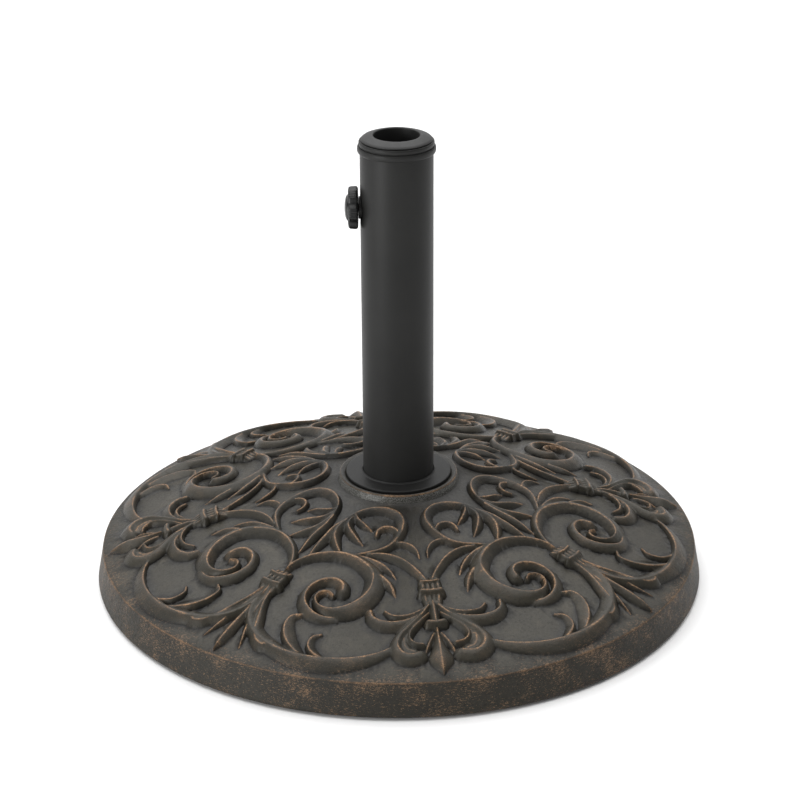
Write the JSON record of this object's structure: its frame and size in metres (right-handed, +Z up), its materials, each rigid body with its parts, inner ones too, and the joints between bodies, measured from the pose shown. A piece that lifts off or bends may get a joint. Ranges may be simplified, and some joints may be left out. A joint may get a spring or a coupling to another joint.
{
  "type": "parasol base",
  "caption": "Round relief-cast garden parasol base with a steel stem tube, a screw clamp with a knob, a beaded top collar and a lift-out reducer for the pole.",
  "frame": {"origin": "on the ground under the middle of the stem, which is the middle of the bottom of the whole object's box", "axes": "+Z up along the stem; the clamp knob points along -X; the viewer in front looks along +Y"},
  "size_m": [0.55, 0.55, 0.412],
  "materials": {
    "antique_bronze": "cast composite with a dark antique bronze paint, copper dry-brushed on the raised edges",
    "charcoal_powder_coat": "fine-textured charcoal powder coat, satin",
    "knob_plastic": "charcoal moulded plastic, satin",
    "black_plastic": "black moulded plastic, satin",
    "black_rubber": "black rubber, dull",
    "zinc_plated_steel": "zinc plated steel"
  },
  "bodies": {
    "base_and_stem": {"base_casting": "antique_bronze", "foot_1": "black_rubber", "foot_2": "black_rubber", "foot_3": "black_rubber", "foot_4": "black_rubber", "foot_5": "black_rubber", "foot_6": "black_rubber", "stem_tube": "charcoal_powder_coat", "flange_plate": "charcoal_powder_coat", "top_collar": "charcoal_powder_coat", "clamp_boss": "charcoal_powder_coat", "pole_seat": "black_plastic", "stem_foot_plate": "zinc_plated_steel", "anchor_nut": "zinc_plated_steel", "anchor_bolt": "zinc_plated_steel", "anchor_washer": "zinc_plated_steel", "spring_washer": "zinc_plated_steel"},
    "reducer": {"reducer_insert": "black_plastic"},
    "clamp_tip": {"clamp_pad": "black_plastic"},
    "clamp_handle": {"clamp_knob": "knob_plastic", "knob_cap": "knob_plastic", "clamp_screw": "zinc_plated_steel"}
  },
  "joints": [
    {"name": "reducer_lift", "type": "slide", "parent": "base_and_stem", "child": "reducer", "axis": [0, 0, 1], "range_m": [0, 0.05]},
    {"name": "clamp_travel", "type": "slide", "parent": "base_and_stem", "child": "clamp_tip", "axis": [-1, 0, 0], "range_m": [0, 0.0094]},
    {"name": "knob_turn", "type": "hinge", "parent": "clamp_tip", "child": "clamp_handle", "pos_m": [-0.04, 0, 0.3467], "axis": [-1, 0, 0], "range_deg": [0, 2700]}
  ],
  "couplings": [
    {"joint": "clamp_travel", "follows": "knob_turn", "m_per_rad": 0.00019894}
  ]
}
